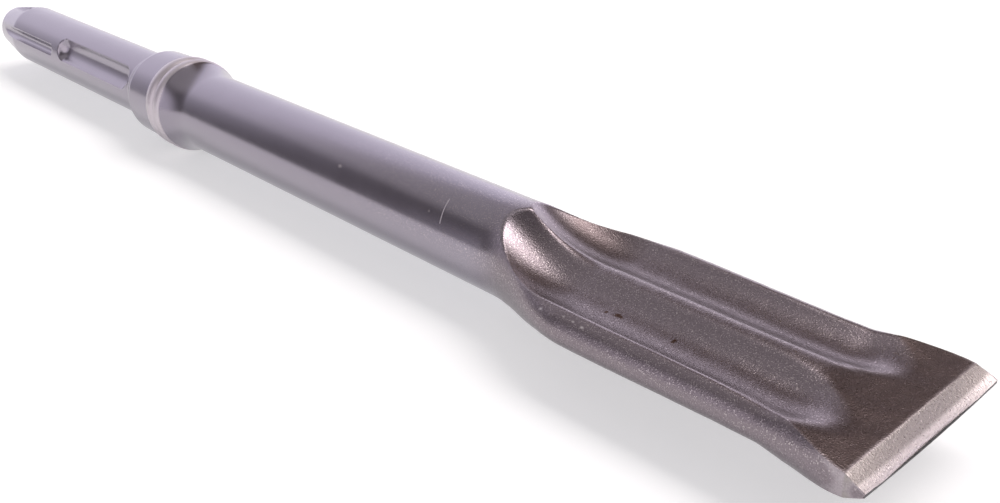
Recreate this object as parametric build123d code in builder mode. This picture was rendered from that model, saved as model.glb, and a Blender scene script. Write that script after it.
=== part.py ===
from build123d import *
import math
import os

os.makedirs("parts", exist_ok=True)

# Flat chisel for an electric hammer, forged in one piece with its shank.
# X runs along the axis, from the shank's end at 0 to the cutting edge. Y runs across the blade.
# Z is the upward normal of the blade as it lies flat.

# Main sizes
total_length = 327.5
shank_radius = 9.0
body_radius = 10.0
edge_width = 36.4

# Shank: the round end that the hammer's chuck holds
shank_length = 97.0
end_taper_length = 15.0
end_face_radius = 6.7

# Locking grooves: closed at both ends, one on each side of the shank
lock_length = 45.5
lock_end_gap = 1.5
lock_cutter_radius = 4.0
lock_depth = 2.2
lock_angle = 60.0

# Drive slots: open at the shank's end, each with its own angle, length, depth and cutter radius
side_slot_angle = 72.0
side_slot_length = 45.5
side_slot_depth = 1.5
side_slot_cutter_radius = 1.6
top_slot_angle = 7.0
top_slot_length = 14.5
top_slot_depth = 2.0
top_slot_cutter_radius = 2.2
rear_slot_angle = 223.0
rear_slot_length = 45.5
rear_slot_depth = 2.0
rear_slot_cutter_radius = 3.0

# Collar: a shoulder, a long land and two raised beads, then a hollow cone down to the body
shoulder_length = 5.0
shoulder_radius = 11.35
shoulder_blend = 2.5
land_length = 10.8
bead_width = 3.7
bead_valley_radius = 11.65
bead_crest_radius = 12.15
cone_length = 9.3

# Blade outline: the round body spreads in the neck, narrows to a waist, then flares at the spade
blade_length = 86.0
neck_length = 28.0
spade_length = 20.0
blade_half_width = 17.2
waist_half_width = 16.5
spade_half_width = 18.0

# Ridges along the blade's sides: each starts on the round body, at its own angle above the middle plane
root_ridge_angle = 40.7
ridge_settle_length = 22.0
ridge_offset = 14.1
ridge_height = 3.55
waist_ridge_height = 3.25
spade_ridge_height = 3.7
spade_rise_length = 4.5
corner_inset = 0.15

# Blade thickness: the upper and lower faces taper together, down to the ground bevels
bevel_length = 3.4
bevel_back_height = 2.05
face_crown = 0.05
face_slope = 0.1138
corner_slope = 0.15
edge_height = 0.5

# Flutes: two round-bottomed hollows in each face, with a rounded rib between them
flute_radius = 12.0
flute_offset = 7.5
flute_floor_height = 1.6
flute_root_radius = 32.0
flute_root_start = 23.0
flute_root_sweep = 60.0
flute_overrun = 1.0
flute_run_out_angle = 11.5
flute_run_out_blend = 15.0
rib_rounding = 0.8

# Places along the axis
lock_end = shank_length - lock_end_gap
lock_start = lock_end - lock_length
bead_start = shank_length + shoulder_length + land_length
bead_valley = bead_start + bead_width
bead_end = bead_valley + bead_width
cone_end = bead_end + cone_length
neck_start = total_length - blade_length
neck_end = neck_start + neck_length
spade_start = total_length - spade_length
flute_level_start = neck_start + flute_root_start
flute_level_end = spade_start + flute_overrun
ridge_settled = neck_start + ridge_settle_length
spade_risen = spade_start + spade_rise_length
bevel_start = total_length - bevel_length

# Where the ridges leave the round body, and half the width of the cutting edge
edge_half_width = edge_width / 2
root_ridge_offset = body_radius * math.cos(math.radians(root_ridge_angle))
root_ridge_height = body_radius * math.sin(math.radians(root_ridge_angle))


def eased(x, *stations):
    """The height at x of a line that eases from each (place, height) station to the next."""
    for (start, low), (end, high) in zip(stations, stations[1:]):
        if x < end:
            share = max(x - start, 0) / (end - start)
            return low + (high - low) * share * share * (3 - 2 * share)
    return stations[-1][1]


# Places along the blade where its section is drawn
neck_stations = [neck_start + neck_length * i / 7 for i in range(7)]
middle_stations = [neck_end + (spade_start - neck_end) * i / 4 for i in range(4)]
spade_stations = [spade_start + (bevel_start - spade_start) * i / 6 for i in range(7)]

# Blade sections: a round one at the neck that turns into a wide one with rounded sides
blade_sections = []
for x in neck_stations + middle_stations + spade_stations + [total_length]:
    half_width = eased(
        x,
        (neck_start, body_radius),
        (neck_end, blade_half_width),
        (spade_start, waist_half_width),
        (bevel_start, spade_half_width),
        (total_length, edge_half_width),
    )
    corner_y = eased(
        x,
        (neck_start, root_ridge_offset),
        (ridge_settled, ridge_offset),
        (spade_start, ridge_offset),
        (bevel_start, spade_half_width - corner_inset),
        (total_length, edge_half_width - corner_inset),
    )
    ridge_line = eased(
        x,
        (neck_start, root_ridge_height),
        (ridge_settled, ridge_height),
        (spade_start, waist_ridge_height),
        (spade_risen, spade_ridge_height),
    )
    from_bevel = max(bevel_start - x, 0)
    corner_z = min(ridge_line, bevel_back_height + corner_slope * from_bevel)
    crown_z = min(body_radius, bevel_back_height + face_crown + face_slope * from_bevel)
    with BuildLine(Plane.YZ.offset(x)):
        upper = ThreePointArc((corner_y, corner_z), (0, crown_z), (-corner_y, corner_z))
        near_side = ThreePointArc((-corner_y, corner_z), (-half_width, 0), (-corner_y, -corner_z))
        lower = ThreePointArc((-corner_y, -corner_z), (0, -crown_z), (corner_y, -corner_z))
        far_side = ThreePointArc((corner_y, -corner_z), (half_width, 0), (corner_y, corner_z))
    blade_sections.append(Wire([upper, near_side, lower, far_side]))

# The cutter for one face's two flutes: its section, two circles that meet over the rounded rib, is swept
# along the hollows' floor, in past the neck and out over the spade
with BuildPart() as flutes:
    with BuildLine(Plane.XZ) as flute_path:
        path_radius = flute_root_radius - flute_radius
        centre_height = flute_floor_height + flute_root_radius
        root_arc = CenterArc(
            (flute_level_start, centre_height), path_radius, 270 - flute_root_sweep, flute_root_sweep
        )
        level = Line(root_arc @ 1, (flute_level_end, flute_floor_height + flute_radius))
        bend = JernArc(level @ 1, level % 1, flute_run_out_blend, flute_run_out_angle)
        run_out = PolarLine(bend @ 1, total_length - flute_level_end, flute_run_out_angle)
    section_plane = Plane(origin=flute_path.line @ 0, x_dir=(0, 1, 0), z_dir=flute_path.line % 0)
    with BuildSketch(section_plane) as section:
        with Locations((-flute_offset, 0), (flute_offset, 0)):
            Circle(flute_radius)
        fillet(section.vertices().filter_by(lambda v: abs(v.Y) < rib_rounding), rib_rounding)
    sweep(path=flute_path.line)


def round_ended_cutter(start, end, radius, depth, angle):
    """A bar with ball ends that sinks the given depth into the shank, at the given angle from +Z."""
    height = shank_radius - depth + radius
    bar = Pos((start + end) / 2, 0, height) * Rot(0, 90, 0) * Cylinder(radius, end - start)
    balls = [Pos(x, 0, height) * Sphere(radius) for x in (start, end)]
    return Rot(angle, 0, 0) * (bar + balls)


# Locking grooves on both sides, then the drive slots, which run out through the shank's end
ball_inset = math.sqrt(lock_cutter_radius**2 - (lock_cutter_radius - lock_depth) ** 2)
shank_cutters = [
    round_ended_cutter(
        lock_start + ball_inset, lock_end - ball_inset, lock_cutter_radius, lock_depth, angle
    )
    for angle in (lock_angle, lock_angle + 180)
]
shank_cutters += [
    round_ended_cutter(-radius, length - radius, radius, depth, angle)
    for length, radius, depth, angle in (
        (side_slot_length, side_slot_cutter_radius, side_slot_depth, side_slot_angle),
        (top_slot_length, top_slot_cutter_radius, top_slot_depth, top_slot_angle),
        (rear_slot_length, rear_slot_cutter_radius, rear_slot_depth, rear_slot_angle),
    )
]

# The turned profile stands in the plane of the top slot, so the turned faces have their seam in that slot
profile_plane = Plane(Location((0, 0, 0), (90 + top_slot_angle, 0, 0)))

with BuildPart() as chisel:
    # Shank, collar and body, turned as one profile
    with BuildSketch(profile_plane) as turned_profile:
        with BuildLine():
            shank_line = Polyline(
                (0, 0),
                (0, end_face_radius),
                (end_taper_length, shank_radius),
                (shank_length, shank_radius),
            )
            shoulder = Line(shank_line @ 1, (shank_length + shoulder_length, shoulder_radius))
            land = Line(shoulder @ 1, (bead_start, bead_valley_radius))
            first_bead = ThreePointArc(
                land @ 1,
                (bead_start + bead_width / 2, bead_crest_radius),
                (bead_valley, bead_valley_radius),
            )
            second_bead = ThreePointArc(
                first_bead @ 1,
                (bead_valley + bead_width / 2, bead_crest_radius),
                (bead_end, bead_valley_radius),
            )
            TangentArc((cone_end, body_radius), second_bead @ 1, tangent=(-1, 0))
            Polyline((cone_end, body_radius), (neck_start, body_radius), (neck_start, 0), (0, 0))
        make_face()
        shoulder_corners = turned_profile.vertices().filter_by(
            lambda v: shank_length <= v.X <= shank_length + shoulder_length and v.Z > 0
        )
        fillet(shoulder_corners, shoulder_blend)
    revolve(axis=Axis.X)

    # Blade blank, drawn through its sections
    add(Solid.make_loft(blade_sections))

    # Flutes in the upper face and, as their mirror image, in the lower one
    add(flutes.part, mode=Mode.SUBTRACT)
    mirror(flutes.part, about=Plane.XY, mode=Mode.SUBTRACT)

    # Ground bevels: one from above and one from below, with the blunt cutting edge between them
    with BuildSketch(Plane.XZ):
        with BuildLine():
            Polyline(
                (bevel_start, bevel_back_height + face_crown),
                (total_length, edge_height),
                (total_length, body_radius),
                (bevel_start, body_radius),
                close=True,
            )
        make_face()
        mirror(about=Plane.XY)
    extrude(amount=edge_width, both=True, mode=Mode.SUBTRACT)

    # Locking grooves and drive slots in the shank
    add(shank_cutters, mode=Mode.SUBTRACT)

chisel.part.label = "chisel"
export_step(chisel.part, "parts/chisel.step")
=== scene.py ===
# %% [markdown]
# # A flat hammer chisel, lying on a plain floor
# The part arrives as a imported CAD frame. This cell loads it and keeps the box that it fills, because the
# dressed piece has to stay inside that box.

import math

import bpy
import numpy as np
from mathutils import Matrix, Vector


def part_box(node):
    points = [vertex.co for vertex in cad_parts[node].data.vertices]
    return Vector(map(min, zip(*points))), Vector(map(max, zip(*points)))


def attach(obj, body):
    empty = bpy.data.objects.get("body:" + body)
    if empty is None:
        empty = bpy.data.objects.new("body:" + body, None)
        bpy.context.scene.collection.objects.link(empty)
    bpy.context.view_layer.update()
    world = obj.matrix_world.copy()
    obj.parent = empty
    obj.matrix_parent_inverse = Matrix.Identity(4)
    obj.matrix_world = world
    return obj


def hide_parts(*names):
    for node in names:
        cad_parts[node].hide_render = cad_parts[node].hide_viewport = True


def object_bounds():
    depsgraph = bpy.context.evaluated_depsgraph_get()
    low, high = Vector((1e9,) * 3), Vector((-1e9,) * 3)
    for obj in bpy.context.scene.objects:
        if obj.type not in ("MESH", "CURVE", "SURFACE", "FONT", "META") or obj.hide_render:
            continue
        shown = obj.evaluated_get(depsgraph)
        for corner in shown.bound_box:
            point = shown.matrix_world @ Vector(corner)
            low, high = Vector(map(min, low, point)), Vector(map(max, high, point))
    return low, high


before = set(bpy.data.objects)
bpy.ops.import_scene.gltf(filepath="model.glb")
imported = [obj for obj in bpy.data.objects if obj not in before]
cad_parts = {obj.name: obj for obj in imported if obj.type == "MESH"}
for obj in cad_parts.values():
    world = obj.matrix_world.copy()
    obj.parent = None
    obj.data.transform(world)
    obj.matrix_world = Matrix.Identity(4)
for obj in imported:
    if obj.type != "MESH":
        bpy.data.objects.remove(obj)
cad_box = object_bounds()
chisel_low, chisel_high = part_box("chisel")
print("CAD box", [round(v, 4) for v in chisel_low], [round(v, 4) for v in chisel_high])

# %% [markdown]
# ## Writing nodes as sums
# A shader or a Geometry Nodes tree is a long sum of small steps. One class wraps a socket, so that
# `1 - mask` or `height * 0.3` adds the Math nodes that it needs. Every node comes from `add_node`, which takes
# the node's type, its settings, and the values or links of its sockets.

# %% One way to add a node
def add_node(tree, kind, settings=None, inputs=None):
    """Adds a node, then its settings, then the values or links of its sockets."""
    made = tree.nodes.new(kind)
    for name, setting in (settings or {}).items():
        setattr(made, name, setting)
    for key, given in (inputs or {}).items():
        socket = made.inputs[key]
        if isinstance(given, Value):
            tree.links.new(given.socket, socket)
        elif isinstance(given, bpy.types.NodeSocket):
            tree.links.new(given, socket)
        else:
            socket.default_value = given
    return made


print("add_node is ready")

# %% A socket that can be written in sums
class Value:
    """One output socket of a node tree, with the operators that a sum needs."""

    def __init__(self, socket):
        self.socket = socket
        self.tree = socket.id_data

    def math(self, operation, *others):
        """Adds a Math node that takes this value first."""
        inputs = dict(enumerate((self, *others)))
        return Value(add_node(self.tree, "ShaderNodeMath", {"operation": operation}, inputs).outputs[0])

    def __add__(self, other):
        return self.math("ADD", other)

    __radd__ = __add__

    def __mul__(self, other):
        return self.math("MULTIPLY", other)

    __rmul__ = __mul__

    def __sub__(self, other):
        return self.math("SUBTRACT", other)

    def __rsub__(self, other):
        return self.math("MULTIPLY", -1).math("ADD", other)

    def __truediv__(self, other):
        return self.math("DIVIDE", other)

    def __rtruediv__(self, other):
        return self.math("POWER", -1).math("MULTIPLY", other)

    def __pow__(self, power):
        return self.math("POWER", power)

    def __abs__(self):
        return self.math("ABSOLUTE")

    def root(self):
        """Square root, with anything below zero read as zero."""
        return self.math("MAXIMUM", 0).math("SQRT")

    def least(self, other):
        return self.math("MINIMUM", other)

    def most(self, other):
        return self.math("MAXIMUM", other)

    def between(self, low, high):
        return self.most(low).least(high)

    def band(self, middle, half_width, softness):
        """1 within half_width of the middle, fading to 0 over the softness outside it."""
        return abs(self - middle).ramp(half_width, half_width + softness, 1, 0, smooth=True)

    def ramp(self, start, end, low=0.0, high=1.0, smooth=False):
        """low up to start, high from end on, and straight or smooth in between."""
        settings = {"interpolation_type": "SMOOTHSTEP" if smooth else "LINEAR"}
        inputs = {"Value": self, "From Min": start, "From Max": end, "To Min": low, "To Max": high}
        return Value(add_node(self.tree, "ShaderNodeMapRange", settings, inputs).outputs[0])


print("Value is ready")

# %% [markdown]
# ## Places along the chisel
# All lengths are in millimetres, and they are the sizes that the CAD source was drawn from. From the shank's
# end at 0 come the shank, the collar, the round body, the neck, the blade, the spade and the bevels. The shape
# follows a rule all along: a round section up to the neck, then one of four arcs, with hollows pressed into it.

# %% Places along the axis, in millimetres
TOTAL_LENGTH = 327.5
SHANK_LENGTH, CONE_END = 97.0, 129.5
NECK_START, NECK_END, SPADE_START = 241.5, 269.5, 307.5
BEVEL_LENGTH = 3.4
BEVEL_START = TOTAL_LENGTH - BEVEL_LENGTH
print("the bevels start at", BEVEL_START, "mm")

# %% [markdown]
# ## The unrolled sheet
# A turned profile that Booleans cut would be one way to this shape, but it leaves seams and uneven faces where
# the blade grows out of the round bar. A sheet that one rule rolls up stays even all along. It lies unrolled
# first: X is the place along the axis and Y runs once round the section, from 0 to 4, one unit for each of the
# section's four arcs. Its rows are close where the shape turns and wide on the plain body. Rows before 0 and
# after the total length close the two ends.

# %% Rows along the axis and columns round the section
ROW_SPACING = (
    (0.0, 16.0, 0.8),
    (16.0, 41.0, 2.5),
    (41.0, 57.0, 0.45),
    (57.0, 89.0, 2.5),
    (89.0, SHANK_LENGTH, 0.45),
    (SHANK_LENGTH, CONE_END, 0.3),
    (CONE_END, NECK_START - 6, 2.0),
    (NECK_START - 6, NECK_END, 0.4),
    (NECK_END, SPADE_START, 0.6),
    (SPADE_START, BEVEL_START, 0.3),
    (BEVEL_START, TOTAL_LENGTH, 0.2),
)
UPPER_COLUMNS, SIDE_COLUMNS = 64, 32


def rows_along():
    """Every row's place along the axis, with the rows that close the ends."""
    rows = [-1.0, -0.75, -0.5, -0.25]
    for start, end, spacing in ROW_SPACING:
        count = max(1, round((end - start) / spacing))
        rows += list(np.linspace(start, end, count, endpoint=False))
    return rows + [TOTAL_LENGTH, TOTAL_LENGTH + 1.0]


def columns_round():
    """Every column's place round the section, from 0 to 4."""
    columns = []
    for arc, count in enumerate((UPPER_COLUMNS, SIDE_COLUMNS, UPPER_COLUMNS, SIDE_COLUMNS)):
        columns += list(np.linspace(arc, arc + 1, count, endpoint=False))
    return columns + [4.0]


def unrolled_sheet(name):
    """A flat sheet of quads, with a corner for every row and column."""
    rows, columns = rows_along(), columns_round()
    across = len(columns)
    corners = [(x, turn, 0.0) for x in rows for turn in columns]
    faces = [
        (i * across + j, i * across + j + 1, (i + 1) * across + j + 1, (i + 1) * across + j)
        for i in range(len(rows) - 1)
        for j in range(across - 1)
    ]
    mesh = bpy.data.meshes.new(name)
    mesh.from_pydata(corners, [], faces)
    sheet = bpy.data.objects.new(name, mesh)
    bpy.context.scene.collection.objects.link(sheet)
    print(name, "has", len(rows), "rows,", across, "columns and", len(faces), "faces")
    return sheet


sheet = unrolled_sheet("chisel_forging")

# %% [markdown]
# ## The rule that rolls the sheet up
# The shank, the collar with its two beads, and the body are turned. Their radius could be drawn as a profile
# and spun, but the rule needs it as a number at every place, so it is a sum of ramps along the axis, like a
# lathe operator's list of cuts. The beads are circle arcs on top, and the hollow cone is one more arc.

# %% Radius of the turned part
SHANK_RADIUS, BODY_RADIUS = 9.0, 10.0
END_TAPER, END_FACE_RADIUS = 15.0, 6.7
SHOULDER_LENGTH, SHOULDER_RADIUS, SHOULDER_SOFTNESS = 5.0, 11.35, 0.37
BEAD_START, BEAD_WIDTH, BEAD_VALLEY, BEAD_HEIGHT = 112.8, 3.7, 11.65, 0.5
BEAD_VALLEY_PLACE = BEAD_START + BEAD_WIDTH


def turned_radius(x):
    """The radius of the round part at x: taper, shank, shoulder, land, beads, cone and body."""
    shoulder_end = SHANK_LENGTH + SHOULDER_LENGTH
    slope = (SHOULDER_RADIUS - SHANK_RADIUS) / SHOULDER_LENGTH
    shank = x.ramp(0, END_TAPER, END_FACE_RADIUS, SHANK_RADIUS)
    shoulder = (x - SHANK_LENGTH) * slope + SHANK_RADIUS
    land = x.ramp(shoulder_end, BEAD_START, SHOULDER_RADIUS, BEAD_VALLEY)
    front = shank.math("SMOOTH_MAX", shoulder, SHOULDER_SOFTNESS)
    front = front.math("SMOOTH_MIN", land, SHOULDER_SOFTNESS)
    cone_run, cone_drop = CONE_END - BEAD_VALLEY_PLACE - BEAD_WIDTH, BEAD_VALLEY - BODY_RADIUS
    cone_radius = (cone_run**2 + cone_drop**2) / (2 * cone_drop)
    before_end = (CONE_END - x).between(0, cone_run)
    cone = BODY_RADIUS + cone_radius - (cone_radius**2 - before_end**2).root()
    bead_radius = ((BEAD_WIDTH / 2) ** 2 + BEAD_HEIGHT**2) / (2 * BEAD_HEIGHT)
    from_crest = abs(x - BEAD_VALLEY_PLACE) - BEAD_WIDTH / 2
    bead = ((bead_radius**2 - from_crest**2).root() - (bead_radius - BEAD_HEIGHT)).most(0)
    return front.least(cone) + bead


print("the two beads meet", BEAD_VALLEY_PLACE, "mm from the shank's end")

# %% [markdown]
# ## The section
# Each section is four arcs: an upper and a lower one, and two round sides. `section_outline` gives its widths
# and heights, which ease from one station along the blade to the next, as a loft's do. `section_point` finds
# the point at one place round the arcs. An arc is known from half its chord and its height, which give its half
# angle and its radius. The far half is the near half turned over, so two arcs are enough.

# %% Widths and heights of a section
BLADE_HALF_WIDTH, WAIST_HALF_WIDTH = 17.2, 16.5
SPADE_HALF_WIDTH, EDGE_HALF_WIDTH = 18.0, 18.2
ROOT_RIDGE_ANGLE, RIDGE_SETTLED = math.radians(40.7), 263.5
RIDGE_OFFSET, CORNER_INSET = 14.1, 0.15
RIDGE_HEIGHT, WAIST_RIDGE_HEIGHT = 3.55, 3.25
SPADE_RIDGE_HEIGHT, SPADE_RISEN = 3.7, 312.0
BEVEL_BACK_HEIGHT, FACE_CROWN = 2.05, 0.05
FACE_SLOPE, CORNER_SLOPE = 0.1138, 0.15


def eased(x, *stations):
    """A line that eases from each (place, height) station to the next."""
    line = stations[0][1]
    for (start, low), (end, high) in zip(stations, stations[1:]):
        line = x.ramp(start, end, 0, high - low, smooth=True) + line
    return line


def section_outline(x):
    """Half width, corner's y and z, and crown of the plain section at x, and its turned radius."""
    core = turned_radius(x)
    across_share, up_share = math.cos(ROOT_RIDGE_ANGLE), math.sin(ROOT_RIDGE_ANGLE)
    half_width = eased(
        x, (NECK_START, BODY_RADIUS), (NECK_END, BLADE_HALF_WIDTH), (SPADE_START, WAIST_HALF_WIDTH),
        (BEVEL_START, SPADE_HALF_WIDTH), (TOTAL_LENGTH, EDGE_HALF_WIDTH))
    corner_y = eased(
        x, (NECK_START, BODY_RADIUS * across_share), (RIDGE_SETTLED, RIDGE_OFFSET),
        (SPADE_START, RIDGE_OFFSET), (BEVEL_START, SPADE_HALF_WIDTH - CORNER_INSET),
        (TOTAL_LENGTH, EDGE_HALF_WIDTH - CORNER_INSET))
    ridge = eased(
        x, (NECK_START, BODY_RADIUS * up_share), (RIDGE_SETTLED, RIDGE_HEIGHT),
        (SPADE_START, WAIST_RIDGE_HEIGHT), (SPADE_RISEN, SPADE_RIDGE_HEIGHT))
    half_width = half_width + (core - BODY_RADIUS)
    corner_y = corner_y + (core - BODY_RADIUS) * across_share
    from_bevel = (BEVEL_START - x).most(0)
    corner_z = ridge.least(from_bevel * CORNER_SLOPE + BEVEL_BACK_HEIGHT)
    corner_z = corner_z + (core - BODY_RADIUS) * up_share
    crown = core.least(from_bevel * FACE_SLOPE + (BEVEL_BACK_HEIGHT + FACE_CROWN))
    return half_width, corner_y, corner_z, crown, core


print("the blade is", 2 * BLADE_HALF_WIDTH, "mm wide and its edge", 2 * EDGE_HALF_WIDTH, "mm")

# %% One point of a section
ALL_BUT_STRAIGHT = 0.00001
NEXT_ARC, NEXT_HALF = 0.9999, 1.9999


def arc_of(half_chord, height):
    """Half angle and radius of an arc. Where the height is nothing, the arc is all but straight."""
    half_angle = 2 * (height / half_chord + ALL_BUT_STRAIGHT).math("ARCTANGENT")
    return half_angle, half_chord / half_angle.math("SINE")


def section_point(x, turn):
    """y and z of the plain section, before anything is cut into it, and its turned radius."""
    half_width, corner_y, corner_z, crown, core = section_outline(x)
    quarter = turn.math("FLOORED_MODULO", 4)
    is_side = quarter.math("FLOORED_MODULO", 2).math("GREATER_THAN", NEXT_ARC)
    turned_over = quarter.math("GREATER_THAN", NEXT_HALF)
    place = 1 - 2 * quarter.math("FLOORED_MODULO", 1)

    upper_angle, upper_radius = arc_of(corner_y, crown - corner_z)
    upper_y = upper_radius * (place * upper_angle).math("SINE")
    upper_z = crown - 2 * upper_radius * (place * upper_angle * 0.5).math("SINE") ** 2
    side_angle, side_radius = arc_of(corner_z, half_width - corner_y)
    side_y = 2 * side_radius * (place * side_angle * 0.5).math("SINE") ** 2 - half_width
    side_z = side_radius * (place * side_angle).math("SINE")

    direction = 1 - 2 * turned_over
    y = (upper_y + (side_y - upper_y) * is_side) * direction
    z = (upper_z + (side_z - upper_z) * is_side) * direction
    return y, z, core


print("section_point gives the plain section anywhere along the tool")

# %% [markdown]
# ## The hollows and the rib
# The hollows are what a round bar would press into the blade if it were swung in past the neck, run level,
# and lifted out over the spade. `hollow_height` gives the bar's underside over any point. Two such bars side
# by side would leave a sharp rib between them, but a forged rib is round, so `rib_height` gives it a crest.

# %% The path that presses the hollows
FLUTE_RADIUS, FLUTE_ROOT = 12.0, 32.0
FLUTE_LEVEL_START, FLUTE_LEVEL_END = 264.5, 308.5
RUN_OUT_ANGLE, RUN_OUT_BLEND = math.radians(11.5), 15.0


def bar_rise(x, drop):
    """How much higher the bar's underside lies than on its level stretch. At the neck it swings in, and over
    the spade it lifts out. The drop is how far below the bar's middle that underside is."""
    root_radius = drop + (FLUTE_ROOT - FLUTE_RADIUS)
    before = (FLUTE_LEVEL_START - x).most(0).least(root_radius)
    swing = root_radius - (root_radius**2 - before**2).root()
    lift_radius = drop + RUN_OUT_BLEND
    lift_reach = lift_radius * math.sin(RUN_OUT_ANGLE)
    beyond = (x - FLUTE_LEVEL_END).most(0)
    on_bend = beyond.least(lift_reach)
    lift = lift_radius - (lift_radius**2 - on_bend**2).root()
    return swing + lift + (beyond - lift_reach).most(0) * math.tan(RUN_OUT_ANGLE)


print("the bar runs level from", FLUTE_LEVEL_START, "to", FLUTE_LEVEL_END, "mm")

# %% The surface of the hollows and of the rib
FLUTE_OFFSET, FLUTE_FLOOR = 7.5, 1.6
RIB_HEIGHT, RIB_RADIUS, RIB_REACH = 4.0, 7.0, 3.2
FLUTE_PARTING, PARTING_START = 1.1, SPADE_START - 8
INNER_STEEPNESS, STEEPER_FROM, STEEP_FROM = 0.26, NECK_START + 5, FLUTE_LEVEL_START + 6
RIB_DROP = math.sqrt(FLUTE_RADIUS**2 - FLUTE_OFFSET**2)
BESIDE_RIB_SLOPE = 9


def hollow_height(x, y, side):
    """Height of one hollow's surface above the blade's middle plane, at x and y. Its wall towards the rib is
    the steeper one."""
    offset = x.ramp(PARTING_START, BEVEL_START, 0, FLUTE_PARTING, smooth=True) + FLUTE_OFFSET
    across = y * side - offset
    steeper = x.ramp(STEEPER_FROM, STEEP_FROM, 0, INNER_STEEPNESS, smooth=True)
    across = across + across.least(0) * steeper
    drop = (FLUTE_RADIUS**2 - across**2).root()
    return FLUTE_FLOOR + FLUTE_RADIUS - drop + bar_rise(x, drop)


def rib_height(x, y):
    """Height of the rib's round crest. Beside the rib it climbs away, so that only the hollows count there."""
    crest = RIB_HEIGHT - RIB_RADIUS + (RIB_RADIUS**2 - y**2).root()
    return crest + (abs(y) - RIB_REACH).most(0) * BESIDE_RIB_SLOPE + bar_rise(x, RIB_DROP)


print("the rib's crest stands", RIB_HEIGHT, "mm above the middle plane")

# %% [markdown]
# ## The worn edge
# The cutting edge has seen use. Its upper side is ground back most in the middle, so it bows down a little
# there, and a ragged burr hangs under it. Noise that is read along the edge gives the burr its teeth. Noise
# at a larger scale gives the blasted blade the slight unevenness of a forging.

# %% Noise, and the worn edge
EDGE_HEIGHT, MIDDLE_EDGE_HEIGHT = 0.5, -0.5
CORNER_BURR_HEIGHT, MIDDLE_BURR_HEIGHT = 0.12, 0.64
FINE_TEETH, BROAD_TEETH, BROAD_TEETH_SHARE = 0.7, 2.6, 0.8
SHORTEST_TOOTH, LONGEST_TOOTH, UPPER_TOOTH_DEPTH = -0.3, 0.7, 0.06


def noise_at(x, y, z, period):
    """Noise of about -0.5 to 0.5 that changes over the given length in millimetres."""
    place = add_node(x.tree, "ShaderNodeCombineXYZ", inputs={
        "X": x / period, "Y": y / period, "Z": z / period})
    made = add_node(x.tree, "ShaderNodeTexNoise", inputs={
        "Vector": place.outputs[0], "Scale": 1.0, "Detail": 2.0})
    return Value(made.outputs[0]) - 0.5


def worn_edge_height(y, is_above, burr_depth):
    """Height of the edge's upper side above the middle plane, or of its lower side below it, and the teeth."""
    bow = 1 - (y / EDGE_HALF_WIDTH) ** 2
    broad = noise_at(y, 0, 0, BROAD_TEETH) * BROAD_TEETH_SHARE
    teeth = (noise_at(y, 0, 0, FINE_TEETH) + broad).between(SHORTEST_TOOTH, LONGEST_TOOTH)
    upper_side = EDGE_HEIGHT - (EDGE_HEIGHT - MIDDLE_EDGE_HEIGHT) * bow + teeth * UPPER_TOOTH_DEPTH
    lower_side = CORNER_BURR_HEIGHT + (MIDDLE_BURR_HEIGHT - CORNER_BURR_HEIGHT) * bow + teeth * burr_depth
    return lower_side + (upper_side - lower_side) * is_above, teeth


print("the edge is worn down by", EDGE_HEIGHT - MIDDLE_EDGE_HEIGHT, "mm in its middle")

# %% [markdown]
# ## The shank's grooves
# The hammer's chuck holds the shank by two closed grooves and turns it by the open slots. They are cut by bars
# with round ends that lie along the shank. A depth is measured straight towards the axis, so each groove is a
# cut in the radius. A smooth minimum rounds its borders as years in a chuck would.

# %% The two closed grooves
LOCK_LENGTH, LOCK_END_GAP = 45.5, 1.5
LOCK_END = SHANK_LENGTH - LOCK_END_GAP
LOCK_START = LOCK_END - LOCK_LENGTH
LOCK_CUTTER, LOCK_DEPTH, LOCK_ANGLE, LOCK_SOFTNESS = 4.0, 2.2, 60.0, 0.9
LOCK_INSET = math.sqrt(LOCK_CUTTER**2 - (LOCK_CUTTER - LOCK_DEPTH) ** 2)
LOCK_GROOVES = [
    (angle, LOCK_START + LOCK_INSET, LOCK_END - LOCK_INSET, LOCK_CUTTER, LOCK_DEPTH, LOCK_SOFTNESS)
    for angle in (LOCK_ANGLE, LOCK_ANGLE + 180)
]
print("the closed grooves run from", LOCK_START, "to", LOCK_END, "mm")

# %% The open slots: angle from the top, length, cutter's radius, depth and softness of the border
SLOT_SIZES = (
    (72.0, 45.5, 1.6, 1.5, 0.12),
    (7.0, 14.5, 2.2, 2.0, 0.2),
    (223.0, 45.5, 3.0, 2.0, 0.45),
)
OPEN_SLOTS = [
    (angle, -cutter, length - cutter, cutter, depth, softness)
    for angle, length, cutter, depth, softness in SLOT_SIZES
]
print(len(OPEN_SLOTS), "slots are open at the shank's end")

# %% The radius that the grooves leave
UNCUT = 4 * SHANK_RADIUS


def grooved_radius(x, y, z, core):
    """The radius left at a point once every groove is cut."""
    radius = core
    for angle, start, end, cutter, depth, softness in LOCK_GROOVES + OPEN_SLOTS:
        turn = math.radians(angle)
        height = SHANK_RADIUS - depth + cutter
        cosine = (z * math.cos(turn) - y * math.sin(turn)) / core
        past_end = (start - x).most(x - end).most(0)
        inside = cutter**2 - past_end**2 - (1 - cosine**2) * height**2
        cut = cosine * height - inside.root()
        is_cut = inside.math("GREATER_THAN", 0) * cosine.math("GREATER_THAN", 0)
        radius = radius.math("SMOOTH_MIN", cut + (1 - is_cut) * UNCUT, softness)
    return radius


print("grooved_radius cuts", len(LOCK_GROOVES + OPEN_SLOTS), "times")

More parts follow.
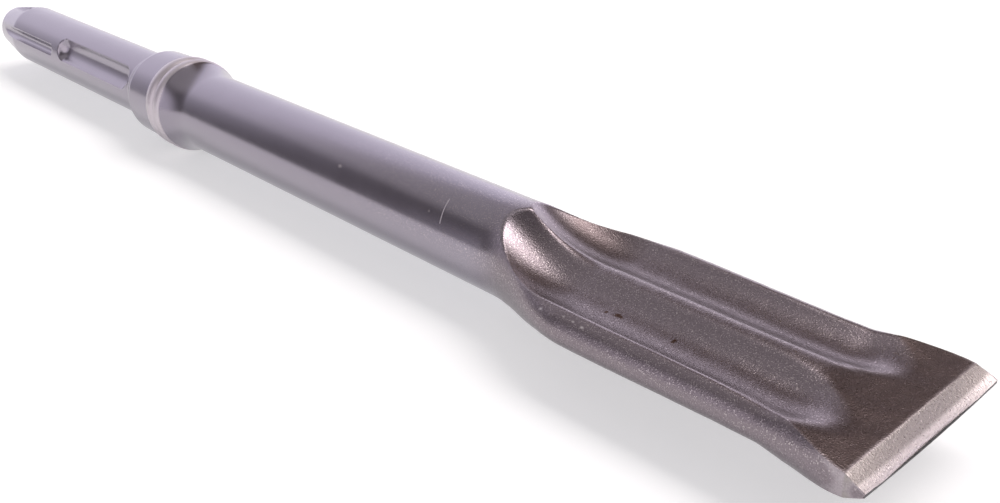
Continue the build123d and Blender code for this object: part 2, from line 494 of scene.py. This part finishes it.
# %% [markdown]
# ## The blade's surface
# The blade is a forged blank with four things done to it: the hollows are pressed in, the steel stays a little
# wavy, the bevels are ground, and the edge wears. Each one is a height, and a smooth minimum lets the lowest
# height win with a softened border, as metal flows round a die. Three numbers are kept for the finish: `crest`
# is 1 where steel is rubbed bright and a highlight is painted, `flat` is 1 on the spade's plain faces, where
# dark scale is left, and the third grows over the closed edge, where the end face is coloured dark.

# %% The blade's height, and what its finish needs
FORGING_PERIOD, WAVES_FROM_HEIGHT = 5.0, 1.5
SPADE_SOFTENING, SOFTER_FROM, SOFT_FROM = 3, SPADE_START - 8, SPADE_START + 4
CREST_BORDER, CREST_FADE = 0.05, 0.2
RIDGES_OUTSIDE, RIDGES_SHINE, RIDGES_DULL = (8, 9), (250, 262), (300, 310)
BORDER_SHINES, CORNERS_SHINE = (BEVEL_START - 2, BEVEL_START - 1), (BEVEL_START - 5, BEVEL_START - 1)
CORNER_BORDER, CORNER_FADE = 0.12, 0.15


def pressed_height(x, y, z, sizes):
    """Height of the blade once the hollows are pressed in, with the hollows' own height."""
    plain_height = abs(z)
    hollow = hollow_height(x, y, 1).least(hollow_height(x, y, -1))
    hollow = hollow.math("SMOOTH_MIN", rib_height(x, y), sizes["Rib Softness"])
    softer = x.ramp(SOFTER_FROM, SOFT_FROM, 1, SPADE_SOFTENING)
    height = plain_height.math("SMOOTH_MIN", hollow, sizes["Ridge Softness"] * softer)
    waves = noise_at(x, y, z, FORGING_PERIOD) * sizes["Forging Waves"] * x.ramp(NECK_START, NECK_END)
    return height + waves * plain_height.ramp(0, WAVES_FROM_HEIGHT), hollow


def bevel_height(x, edge):
    """Height of the ground bevel at x, where the edge has the given height."""
    return (TOTAL_LENGTH - x) * ((BEVEL_BACK_HEIGHT + FACE_CROWN - edge) / BEVEL_LENGTH) + edge


def worn_and_highlit_edges(x, y, above_hollow, above_bevel):
    """1 along the ridges, the bevels' upper borders and the spade's corners, where the steel is worn bright and
    a highlight is painted.
    """
    ridges = above_hollow.band(0, CREST_BORDER, CREST_FADE) * abs(y).ramp(*RIDGES_OUTSIDE)
    ridges = ridges * x.ramp(*RIDGES_SHINE) * x.ramp(*RIDGES_DULL, 1, 0)
    border = above_bevel.band(0, CREST_BORDER, CREST_FADE) * x.ramp(*BORDER_SHINES)
    corner = x.ramp(SPADE_START, BEVEL_START, RIDGE_OFFSET, SPADE_HALF_WIDTH - CORNER_INSET, smooth=True)
    corners = (abs(y) - corner).band(0, CORNER_BORDER, CORNER_FADE) * x.ramp(*CORNERS_SHINE)
    return ridges.most(border).most(corners)


print("the forging waves are", FORGING_PERIOD, "mm apart")

# %% [markdown]
# ## Rolling the sheet up with Geometry Nodes
# The tree reads each corner of the sheet, works out its place from the rule, merges the seam and the closed
# ends, and marks the sharp edges. Its inputs are the sizes that are worth trying. Nodes suit this, because the
# whole tool is one rule: a change to a size moves every corner that depends on it.

# %% The rolling tree's sizes, and how a corner finds its place
ROLLING_SIZES = {
    "Rib Softness": 1.2,
    "Ridge Softness": 0.55,
    "Bevel Softness": 0.08,
    "Forging Waves": 0.16,
    "Burr Depth": 0.2,
}
FACE_DEPTH, FACE_SCALE_PLACES = (-0.1, 0.5), (298, 310)
TOOTH_SHARE, TEETH_LENGTH = 0.8, 0.6


def rolled_corner(row, turn, sizes):
    """Place of one corner, in millimetres, and the numbers that its finish needs."""
    x = row.between(0, TOTAL_LENGTH)
    y, z, core = section_point(x, turn)
    left = grooved_radius(x, y, z, core) / core
    keep = 1 - (1 - left) * x.math("LESS_THAN", SHANK_LENGTH)
    y, z = y * keep, z * keep

    height, hollow = pressed_height(x, y, z, sizes)
    edge, teeth = worn_edge_height(y, z.math("GREATER_THAN", 0), sizes["Burr Depth"])
    bevel = bevel_height(x, edge)
    crest = worn_and_highlit_edges(x, y, abs(z) - hollow, height - bevel)
    on_face = turn.math("FLOORED_MODULO", 2).math("LESS_THAN", 1)
    flat = (hollow - abs(z)).ramp(*FACE_DEPTH) * x.ramp(*FACE_SCALE_PLACES) * on_face
    closing_row = row.ramp(TOTAL_LENGTH, TOTAL_LENGTH + 1)

    height = height.math("SMOOTH_MIN", bevel, sizes["Bevel Softness"])
    z = z + (height * z.math("SIGN") - z) * x.math("GREATER_THAN", CONE_END)
    worn_back = (teeth + 0.5).between(0, 1) * sizes["Burr Depth"] * TOOTH_SHARE
    worn_back = worn_back * x.ramp(TOTAL_LENGTH - TEETH_LENGTH, TOTAL_LENGTH)
    end_open = row.ramp(-1, 0, 0, 1)
    corner = (x - worn_back, y * end_open, z * end_open * (1 - closing_row))
    return corner, {"crest": crest, "flat": flat, "closing_row": closing_row}


print("the rolling tree takes", ", ".join(ROLLING_SIZES))

# %% Build the rolling tree
MILLIMETRE = 0.001
SHARP_FROM = math.radians(32)
MERGE_WITHIN = 0.002 * MILLIMETRE


def finished_mesh(tree, rough, material):
    """Merges the seams, marks what is sharp, and gives the mesh its steel."""
    merged = add_node(tree, "GeometryNodeMergeByDistance", inputs={"Geometry": rough, "Distance": MERGE_WITHIN})
    angle = Value(add_node(tree, "GeometryNodeInputMeshEdgeAngle").outputs["Unsigned Angle"])
    faces = add_node(tree, "GeometryNodeSetShadeSmooth", {"domain": "FACE"}, {"Geometry": merged.outputs[0]})
    edges = add_node(tree, "GeometryNodeSetShadeSmooth", {"domain": "EDGE"}, {
        "Geometry": faces.outputs[0], "Shade Smooth": angle.math("LESS_THAN", SHARP_FROM)})
    real = add_node(tree, "GeometryNodeRealizeInstances", inputs={"Geometry": edges.outputs[0]})
    coated = add_node(tree, "GeometryNodeSetMaterial", inputs={
        "Geometry": real.outputs[0], "Material": material})
    return coated.outputs[0]


def rolling_tree(material):
    """The tree that rolls the sheet up and gives it the material, with its sizes as inputs."""
    tree = bpy.data.node_groups.new("roll_up_chisel", "GeometryNodeTree")
    tree.interface.new_socket("Sheet", in_out="INPUT", socket_type="NodeSocketGeometry")
    for name, value in ROLLING_SIZES.items():
        socket = tree.interface.new_socket(name, in_out="INPUT", socket_type="NodeSocketFloat")
        socket.default_value = value
    tree.interface.new_socket("Chisel", in_out="OUTPUT", socket_type="NodeSocketGeometry")
    given = add_node(tree, "NodeGroupInput")
    sizes = {name: Value(given.outputs[name]) for name in ROLLING_SIZES}

    position = add_node(tree, "GeometryNodeInputPosition")
    parts = add_node(tree, "ShaderNodeSeparateXYZ", inputs={"Vector": position.outputs[0]})
    corner, marks = rolled_corner(Value(parts.outputs["X"]), Value(parts.outputs["Y"]), sizes)
    place = add_node(tree, "ShaderNodeCombineXYZ", inputs={
        axis: length * MILLIMETRE for axis, length in zip("XYZ", corner)})
    marked = given.outputs["Sheet"]
    for name, amount in marks.items():
        marked = add_node(tree, "GeometryNodeStoreNamedAttribute", {"data_type": "FLOAT", "domain": "POINT"}, {
            "Geometry": marked, "Name": name, "Value": amount}).outputs[0]
    moved = add_node(tree, "GeometryNodeSetPosition", inputs={"Geometry": marked, "Position": place.outputs[0]})
    out = add_node(tree, "NodeGroupOutput")
    tree.links.new(finished_mesh(tree, moved.outputs[0], material), out.inputs[0])
    print("the rolling tree has", len(tree.nodes), "nodes")
    return tree


# %% [markdown]
# A modifier's tree is set by its sockets' identifiers, and the result is kept as a plain mesh. The part is then
# an ordinary object.

# %% Keep a tree's result as a mesh
def baked(thing, tree, settings):
    """Applies a tree to an object with the given sizes, and keeps the result as the object's own mesh."""
    modifier = thing.modifiers.new(tree.name, "NODES")
    modifier.node_group = tree
    inputs = [item for item in tree.interface.items_tree if item.in_out == "INPUT"]
    identifiers = {item.name: item.identifier for item in inputs}
    for name, value in settings.items():
        modifier[identifiers[name]] = value
    shown = thing.evaluated_get(bpy.context.evaluated_depsgraph_get())
    mesh = bpy.data.meshes.new_from_object(shown)
    thing.modifiers.clear()
    thing.data = mesh
    print(thing.name, "has", len(mesh.vertices), "corners and", len(mesh.polygons), "faces")
    return thing


# %% [markdown]
# ## The steel
# One bar of steel has three finishes. The shank, the collar and the body are satin. The blade is blasted: its
# grain is a fine noise that tips the surface, with a few grains painted light as glints. The bevels are ground
# and light, with a painted reflection near the edge.
# It could be three materials on three sets of faces, but the finishes run into each other, so it is one, and
# every mark sits at its own place on the tool, in Object coordinates and in millimetres.

# %% Helpers for a finish
def steel_material(name):
    """A new material, with its tree, its shader and each point's place on the tool in millimetres."""
    material = bpy.data.materials.new(name)
    material.use_nodes = True
    tree = material.node_tree
    coordinates = add_node(tree, "ShaderNodeTexCoord")
    place = add_node(tree, "ShaderNodeVectorMath", {"operation": "SCALE"}, {
        0: coordinates.outputs["Object"], "Scale": 1 / MILLIMETRE})
    return material, tree, tree.nodes["Principled BSDF"], place.outputs[0]


def axis_values(tree, place):
    """The place's three lengths, as values."""
    parts = add_node(tree, "ShaderNodeSeparateXYZ", inputs={"Vector": place})
    return [Value(output) for output in parts.outputs]


def mixed(tree, share, below, above):
    """Colour below where the share is 0 and above where it is 1."""
    made = add_node(tree, "ShaderNodeMix", {"data_type": "RGBA"}, {0: share, 6: below, 7: above})
    return made.outputs[2]


def tone(red, green, blue):
    """An opaque colour, in linear light."""
    return (red, green, blue, 1.0)


def grain(tree, place, per_millimetre, detail, roughness=0.5):
    """Noise from 0 to 1 with the given number of grains per millimetre."""
    made = add_node(tree, "ShaderNodeTexNoise", inputs={
        "Vector": place, "Scale": per_millimetre, "Detail": detail, "Roughness": roughness})
    return Value(made.outputs[0])


def near(tree, place, centre, radius, stretch):
    """1 at the centre, and 0 from the radius on. The stretch makes the mark longer along an axis."""
    shift = add_node(tree, "ShaderNodeVectorMath", {"operation": "SUBTRACT"}, {0: place, 1: centre})
    squeezed = add_node(tree, "ShaderNodeVectorMath", {"operation": "DIVIDE"}, {
        0: shift.outputs[0], 1: stretch})
    length = add_node(tree, "ShaderNodeVectorMath", {"operation": "LENGTH"}, {0: squeezed.outputs[0]})
    return Value(length.outputs["Value"]).ramp(0, radius, 1, 0)


print("the finish's helpers are ready")

# %% [markdown]
# ## Marks of use
# A few marks tell that the tool has been used: rust specks on the near hollow's wall, small bright knocks along
# the near ridge, a fine scratch round the body and two bright spots on it. Each is a soft ball round a place,
# stretched along an axis, because so few marks are better placed than scattered. The start of the far hollow
# gets painted shade in the dark scale's colour, because it stays dark in the photograph while the near one
# shines.

# %% Marks: place, reach and stretch of each, in millimetres
RUST_PLACES = (
    ((274.6, -7.5, 1.6), 1.0, (1.6, 0.9, 1.0)),
    ((272.3, -7.9, 1.6), 0.55, (1.0, 1.0, 1.0)),
    ((286.5, -7.4, 1.6), 0.75, (0.8, 1.4, 1.0)),
)
KNOCK_PLACES = (
    ((264.5, -15.6, 2.5), 0.4, (1.6, 1.0, 1.0)),
    ((269.8, -15.4, 2.9), 0.35, (1.8, 1.0, 1.0)),
    ((272.0, -15.5, 2.9), 0.35, (1.4, 1.0, 1.0)),
    ((274.2, -15.7, 2.8), 0.4, (1.8, 1.0, 1.0)),
    ((283.0, -8.6, 1.7), 0.3, (1.0, 1.0, 1.0)),
    ((195.6, -7.5, 6.6), 0.8, (1.4, 0.8, 0.8)),
    ((226.0, -8.1, 5.9), 0.45, (1.0, 1.0, 1.0)),
)
# Painted shade at the far hollow's start, in the scale's dark colour
FAR_HOLLOW_SHADE = ((254.0, 10.0, 5.0), 13.0, (1.0, 0.55, 1.0))
SCRATCH_PLACE, SCRATCH_LEAN, SCRATCH_HALF_WIDTH = 229.3, 0.2, 0.06
SCRATCH_TOP, SCRATCH_HEIGHT, SCRATCH_HALF_LENGTH = 8.33, 6.6, 1.7
print(len(RUST_PLACES), "rust specks and", len(KNOCK_PLACES), "knocks")

# %% Colours of the steel
SATIN = tone(0.31, 0.285, 0.33)
BLASTED = tone(0.235, 0.20, 0.22)
# Painted glints: the colour of the few blasted grains that are painted light
PAINTED_GLINT = tone(0.6, 0.54, 0.54)
BLASTED_PIT = tone(0.1, 0.08, 0.08)
# Painted highlight on the collar's beads, lighter than the satin steel
BEAD_HIGHLIGHT = tone(0.62, 0.57, 0.6)
GROUND = tone(0.345, 0.312, 0.307)
# Painted reflection: the ground bevel is lighter in its strip next to the edge
GROUND_PAINTED_REFLECTION = tone(0.66, 0.605, 0.61)
GROUND_PIT = tone(0.16, 0.14, 0.14)
# Dark scale on the spade's plain faces, and also painted shade at the far hollow's start
SCALE = tone(0.08, 0.054, 0.046)
# Worn steel and a painted highlight along the ridges, the bevel borders and the corners
RUBBED_AND_HIGHLIT = tone(0.5, 0.45, 0.48)
KNOCKED = tone(0.75, 0.7, 0.7)
RUST = tone(0.075, 0.035, 0.02)
# The closed edge's end face is coloured dark
DARK_END_FACE = tone(0.05, 0.045, 0.05)
print("the satin steel is", [round(part, 3) for part in SATIN[:3]])

# %% The steel's noises, and the numbers kept with the mesh
steel, steel_tree, steel_shader, place = steel_material("forged_steel")
x, y, z = axis_values(steel_tree, place)
crest, flat, closing_row = [
    Value(add_node(steel_tree, "ShaderNodeAttribute", {"attribute_name": name}).outputs["Fac"])
    for name in ("crest", "flat", "closing_row")
]
fine = grain(steel_tree, place, 2.6, 3.0, 0.6)
finer = grain(steel_tree, place, 4.4, 1.0)
cloud = grain(steel_tree, place, 0.12, 3.0)
dark_grain = (0.5 - fine).most(0)
print("three noises: fine, finer and cloud")

# %% Where each finish lies, from the shank to the edge
BLASTED_FROM, BLASTED_FULLY = NECK_START - 4, NECK_START + 10
SANDY_FROM, SANDY_FULLY = 175, NECK_START + 5
BORDER_BLUR, SIDE_BLUR, BORDER_WAVER = 0.15, 0.05, 0.5
EDGE_STRIP = (BEVEL_START + 1.7, BEVEL_START + 2.4)
BEADS_FADE, GLINTS_FROM, LOWER_SIDE_SHARE = 0.6, (0.60, 0.68), 0.3
blasted = x.ramp(BLASTED_FROM, BLASTED_FULLY, smooth=True)
sandy = x.ramp(SANDY_FROM, SANDY_FULLY)
wavering = x + (cloud - 0.5) * BORDER_WAVER
on_bevel = wavering.ramp(BEVEL_START - BORDER_BLUR, BEVEL_START + BORDER_BLUR)
on_bevel = on_bevel * abs(y).ramp(SPADE_HALF_WIDTH - SIDE_BLUR, SPADE_HALF_WIDTH + SIDE_BLUR, 1, 0)
# The ground bevel's strip next to the edge is painted lighter, as a reflection
edge_reflection = x.ramp(*EDGE_STRIP, smooth=True)
beads = x.band(BEAD_VALLEY_PLACE, BEAD_WIDTH - BEADS_FADE, BEADS_FADE)
# A few blasted grains are painted light as glints, fewer on the lower side
painted_glints = finer.ramp(*GLINTS_FROM) * sandy * z.ramp(-1, 1.5, LOWER_SIDE_SHARE, 1)
# Along the crests the steel is rubbed bright, and a thin highlight is painted there too
rubbed_and_highlit = (crest * blasted * (fine + 0.15)).between(0, 1)
print("the blasted steel starts", BLASTED_FROM, "mm from the shank's end")

# %% Where the marks lie
# Dark scale on the spade's plain faces, and painted shade at the far hollow's start
scale_and_shade = flat.most(near(steel_tree, place, *FAR_HOLLOW_SHADE).ramp(0.0, 0.7, 0, 0.75, smooth=True))
along_scratch = (x - (SCRATCH_TOP - z) * SCRATCH_LEAN).band(SCRATCH_PLACE, SCRATCH_HALF_WIDTH, 0.1)
scratch = along_scratch * z.band(SCRATCH_HEIGHT, SCRATCH_HALF_LENGTH, 0.3) * y.ramp(-1, 0, 1, 0)
knocks = (near(steel_tree, place, *mark).ramp(0.2, 0.7) for mark in KNOCK_PLACES)
knocked = sum(knocks, scratch * 0.6).least(1)
rusty = sum((near(steel_tree, place, *mark) for mark in RUST_PLACES), (fine - 0.5) * 1.6)
print("the marks and masks take", len(steel_tree.nodes), "nodes")

# %% Colour, from the bare steel to what lies on top of it
ground = mixed(steel_tree, edge_reflection, GROUND, GROUND_PAINTED_REFLECTION)
ground = mixed(steel_tree, dark_grain * 1.8, ground, GROUND_PIT)
color = mixed(steel_tree, blasted, SATIN, BLASTED)
for share, above in (
    # dark scale on the plain faces, and painted shade at the far hollow's start
    (scale_and_shade * 0.75, SCALE),
    # the beads are painted lighter, as a highlight
    (beads * 0.8, BEAD_HIGHLIGHT),
    (painted_glints * (0.75 - scale_and_shade * 0.6), PAINTED_GLINT),
    (dark_grain * 1.6 * blasted, BLASTED_PIT),
    (rubbed_and_highlit * 0.8, RUBBED_AND_HIGHLIT),
    (on_bevel, ground),
    (knocked * 0.7, KNOCKED),
    (rusty.ramp(0.25, 0.55), RUST),
    # the end face over the closed edge is coloured dark
    (closing_row.ramp(0.0, 0.08), DARK_END_FACE),
):
    color = mixed(steel_tree, share, color, above)
steel_tree.links.new(color, steel_shader.inputs["Base Color"])

# %% Roughness
SATIN_ROUGHNESS, BLASTED_ROUGHNESS = 0.22, 0.30
roughness = blasted.ramp(0, 1, SATIN_ROUGHNESS, BLASTED_ROUGHNESS)
for mask, rougher in ((cloud - 0.5, 0.06), (painted_glints, -0.12), (beads, 0.22), (scratch, 0.4), (on_bevel, 0.02)):
    roughness = roughness + mask * rougher
steel_tree.links.new(roughness.socket, steel_shader.inputs["Roughness"])
steel_shader.inputs["Metallic"].default_value = 1.0
print("the satin steel is", SATIN_ROUGHNESS, "rough and the blasted steel", BLASTED_ROUGHNESS)

# %% Grain that tips the surface
BUMP_HEIGHT, BUMP_STRENGTH = 0.05 * MILLIMETRE, 0.6
SATIN_GRAIN, SANDY_GRAIN, BLASTED_GRAIN, FINER_GRAIN = 0.05, 0.1, 0.9, 1.3
pits = fine * (blasted * BLASTED_GRAIN + sandy * SANDY_GRAIN + SATIN_GRAIN) + finer * blasted * FINER_GRAIN
bump = add_node(steel_tree, "ShaderNodeBump", inputs={
    "Height": pits, "Strength": BUMP_STRENGTH, "Distance": BUMP_HEIGHT})
steel_tree.links.new(bump.outputs[0], steel_shader.inputs["Normal"])
print("the steel has", len(steel_tree.nodes), "nodes")

# %% [markdown]
# ## The finished chisel
# The sheet is rolled up with its steel on. It rides on the frame's root body and takes the CAD solid's place.

# %% Roll the chisel up and put it in the place of the CAD solid
chisel = baked(sheet, rolling_tree(steel), ROLLING_SIZES)
chisel.name = "forged_chisel"
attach(chisel, "root")
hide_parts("chisel")

# %% [markdown]
# ## The camera
# It looks down from above the near side, close to the cutting edge, so the shank runs away from it. Its place
# and turn were fitted to the tool's outlines. A camera's matrix holds its right, its up and its backward
# directions, so the two that were fitted the other way round are turned.

# %% Camera
CAMERA_PLACE = Vector((0.383153, -0.127210, 0.098657))
CAMERA_RIGHT = Vector((0.675879, 0.735168, -0.052105))
CAMERA_DOWN = Vector((0.309476, -0.347259, -0.885232))
CAMERA_FORWARD = Vector((-0.668888, 0.582185, -0.462222))
SENSOR_WIDTH, FOCAL_LENGTH_PER_WIDTH = 36.0, 1.11955
camera_data = bpy.data.cameras.new("camera")
camera_data.sensor_width = SENSOR_WIDTH
camera_data.lens = SENSOR_WIDTH * FOCAL_LENGTH_PER_WIDTH
camera_data.clip_start = 0.005
camera = bpy.data.objects.new("camera", camera_data)
bpy.context.scene.collection.objects.link(camera)
turn_to_view = Matrix((CAMERA_RIGHT, -CAMERA_DOWN, -CAMERA_FORWARD)).transposed()
camera.matrix_world = Matrix.Translation(CAMERA_PLACE) @ turn_to_view.to_4x4()
bpy.context.scene.camera = camera
print("the lens is", round(camera_data.lens, 2), "mm")

# %% [markdown]
# ## The floor
# The tool lies on the collar's beads and on its blade's edge side, on a plain pale floor. The floor glows a
# little for the camera and for reflections, so that it reads as white, and it still takes the tool's shadow.

# %% Floor
FLOOR_HEIGHT = cad_box[0][2]
FLOOR_REACH = 20.0
FLOOR_COLOR = (0.66, 0.675, 0.68, 1)
FLOOR_GLOW = 0.43
floor_mesh = bpy.data.meshes.new("floor")
floor_corners = [
    (side * FLOOR_REACH, end * FLOOR_REACH, FLOOR_HEIGHT)
    for side, end in ((-1, -1), (1, -1), (1, 1), (-1, 1))
]
floor_mesh.from_pydata(floor_corners, [], [(0, 1, 2, 3)])
floor = bpy.data.objects.new("floor", floor_mesh)
bpy.context.scene.collection.objects.link(floor)
print("the floor lies at", round(FLOOR_HEIGHT, 5))

# %% Floor paint
floor_paint = bpy.data.materials.new("floor_paint")
floor_paint.use_nodes = True
floor_tree = floor_paint.node_tree
floor_shader = floor_tree.nodes["Principled BSDF"]
floor_shader.inputs["Base Color"].default_value = FLOOR_COLOR
floor_shader.inputs["Roughness"].default_value = 0.9
floor_shader.inputs["Specular IOR Level"].default_value = 0.1
rays = add_node(floor_tree, "ShaderNodeLightPath")
seen = Value(rays.outputs["Is Camera Ray"]).most(Value(rays.outputs["Is Glossy Ray"]))
seen = seen.most(Value(rays.outputs["Is Transmission Ray"]))
glow = add_node(floor_tree, "ShaderNodeEmission", inputs={
    "Color": (1, 1, 1, 1), "Strength": seen * FLOOR_GLOW})
both = add_node(floor_tree, "ShaderNodeAddShader", inputs={0: floor_shader.outputs[0], 1: glow.outputs[0]})
floor_tree.links.new(both.outputs[0], floor_tree.nodes["Material Output"].inputs["Surface"])
floor_mesh.materials.append(floor_paint)

# %% [markdown]
# ## The studio
# Polished steel shows the room, so the room is most of its look. Lamps would show as small hot spots, so the
# soft panels are painted in the world instead: a wide pale one past the shank's end, a warm one overhead that
# lights the bevel, the hollows' starts and the collar's beads, and two on the near side. Between them the room
# is dim and brownish, which gives the steel its dark bands.

# %% Panels of light
world = bpy.data.worlds.new("studio")
world.use_nodes = True
world_tree = world.node_tree
direction = add_node(world_tree, "ShaderNodeTexCoord").outputs["Generated"]
ways = add_node(world_tree, "ShaderNodeSeparateXYZ", inputs={"Vector": direction})
to_edge, far_side, upward = [Value(output) for output in ways.outputs]


def panel(aim, start, full):
    """1 well inside a round panel in the aimed direction, 0 outside it, and soft at its rim."""
    made = add_node(world_tree, "ShaderNodeVectorMath", {"operation": "DOT_PRODUCT"}, {
        0: direction, 1: Vector(aim).normalized()})
    return Value(made.outputs["Value"]).ramp(start, full, smooth=True)


past_shank = panel((-0.9356, 0.2334, -0.264), 0.53, 0.62) * far_side.ramp(-0.55, -0.2)
far_horizon = upward.ramp(0.28, 0.46, 1, 0, smooth=True) * far_side.ramp(0.0, 0.35)
far_horizon = far_horizon * to_edge.ramp(-0.75, -0.55)
ceiling = panel((-0.5, -0.1, 0.86), 0.80, 0.95)
low_near_side = panel((0.0, -0.98, 0.1), 0.65, 0.88)
high_near_side = panel((0.15, -0.9, 0.4), 0.84, 0.96)
overhead = panel((0.27, 0.19, 0.94), 0.76, 0.97) * far_side.ramp(0.155, 0.225)
print("six panels are aimed")

# %% Light of the room and of its panels
ROOM_NEAR_SIDE, ROOM_FAR_SIDE = tone(0.16, 0.145, 0.155), tone(0.12, 0.075, 0.055)
light = mixed(world_tree, far_side.ramp(-0.3, 0.5), ROOM_NEAR_SIDE, ROOM_FAR_SIDE)
for share, panel_light in (
    (ceiling, tone(0.5, 0.47, 0.48)),
    (past_shank, tone(1.2, 1.15, 1.3)),
    (far_horizon, tone(1.6, 1.5, 1.68)),
    (low_near_side, tone(0.95, 0.9, 1.0)),
    (high_near_side, tone(1.5, 1.42, 1.45)),
    (overhead, tone(5.6, 5.25, 5.15)),
):
    light = mixed(world_tree, share, light, panel_light)
world_tree.links.new(light, world_tree.nodes["Background"].inputs["Color"])
bpy.context.scene.world = world
bpy.context.scene.view_settings.view_transform = "Standard"
print("the studio has", len(world_tree.nodes), "nodes")
